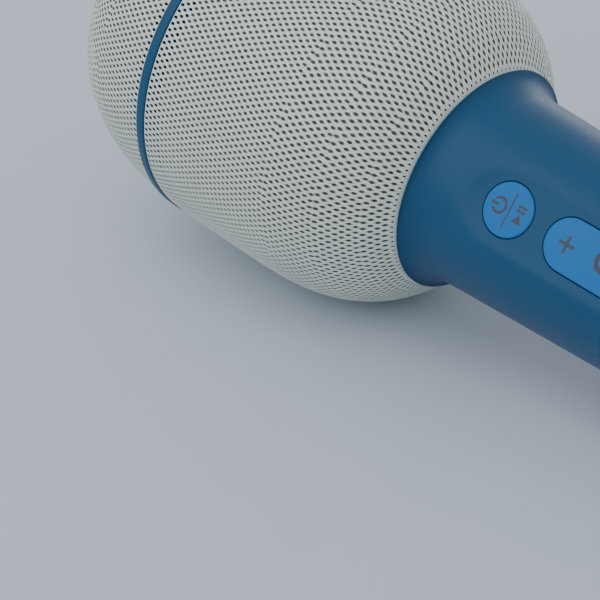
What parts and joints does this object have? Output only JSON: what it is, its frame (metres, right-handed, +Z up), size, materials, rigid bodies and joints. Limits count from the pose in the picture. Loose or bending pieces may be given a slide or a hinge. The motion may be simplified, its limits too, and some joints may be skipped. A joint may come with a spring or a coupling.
{
  "type": "karaoke microphone",
  "caption": "Cordless handheld karaoke microphone with a large barrel-shaped perforated head, a built-in speaker, and round and oblong buttons on its handle, lying on its side.",
  "frame": {"origin": "on the floor under the middle of the bounding box, with the microphone lying on its head and its tail", "axes": "+Z up, -X towards the head, +X towards the tail, -Y towards the side that the buttons face"},
  "size_m": [0.2592, 0.084, 0.088],
  "materials": {
    "body_blue": "satin moulded plastic, softly glossy",
    "button_blue": "satin moulded plastic keys with grey printed symbols",
    "grille_paint": "perforated steel sheet with a pale grey-green satin paint",
    "foam_dark": "open-cell acoustic foam, dark grey",
    "black_plastic": "black moulded ABS",
    "steel": "plated steel",
    "magnet": "pressed ferrite, dark grey",
    "rubber": "black rubber",
    "cone_paper": "pressed paper, dark grey",
    "copper": "enamelled copper winding",
    "board_green": "glass-epoxy circuit board, green lacquer",
    "cell_wrap": "shrink-wrapped cell, blue",
    "lead_red": "red insulated wire"
  },
  "bodies": {
    "casing": {"battery_cell": "cell_wrap", "battery_lead": "lead_red", "board_screw_1": "steel", "board_screw_2": "steel", "buffer_capacitor": "black_plastic", "button_board": "board_green", "capsule_cushion": "rubber", "capsule_holder": "black_plastic", "capsule_lead": "lead_red", "charge_board": "board_green", "charge_socket": "steel", "chassis": "black_plastic", "divider_plate": "black_plastic", "handle_shell": "body_blue", "head_cage": "black_plastic", "key_frame": "black_plastic", "lower_foam": "foam_dark", "lower_grille": "grille_paint", "magnet_yoke": "steel", "main_board": "board_green", "mic_capsule": "steel", "mode_switch": "black_plastic", "neck_flange": "black_plastic", "neck_screw_1": "steel", "neck_screw_2": "steel", "neck_screw_3": "steel", "power_switch": "black_plastic", "radio_module": "steel", "seam_ring": "body_blue", "speaker_basket": "steel", "speaker_lead": "lead_red", "speaker_magnet": "magnet", "speaker_screw_1": "steel", "speaker_screw_2": "steel", "speaker_screw_3": "steel", "speaker_screw_4": "steel", "speaker_surround": "rubber", "tail_cap": "body_blue", "tail_screw_1": "steel", "tail_screw_2": "steel", "upper_foam": "foam_dark", "upper_grille": "grille_paint", "volume_down_switch": "black_plastic", "volume_up_switch": "black_plastic"},
    "power_key": {"power_button": "button_blue"},
    "rocker_carrier": {"rocker_cradle": "black_plastic"},
    "rocker_key": {"volume_rocker": "button_blue"},
    "cone": {"speaker_cone": "cone_paper", "dust_cap": "cone_paper", "voice_coil": "copper"}
  },
  "joints": [
    {"name": "power_press", "type": "slide", "parent": "casing", "child": "power_key", "axis": [-0.1112, 0.851, -0.5132], "range_m": [0, 0.0006], "stiffness_N_per_m": 1500},
    {"name": "mode_press", "type": "slide", "parent": "casing", "child": "rocker_carrier", "axis": [-0.1112, 0.851, -0.5132], "range_m": [0, 0.0006], "stiffness_N_per_m": 1500},
    {"name": "volume_rock", "type": "hinge", "parent": "rocker_carrier", "child": "rocker_key", "pos_m": [0.02664, -0.01408, 0.03953], "axis": [-0.1164, -0.524, -0.8437], "range_deg": [-2, 2], "stiffness_Nm_per_rad": 0.2},
    {"name": "cone_travel", "type": "slide", "parent": "casing", "child": "cone", "axis": [-0.9906, 0, 0.1367], "range_m": [-0.0008, 0.0008], "stiffness_N_per_m": 1000}
  ]
}
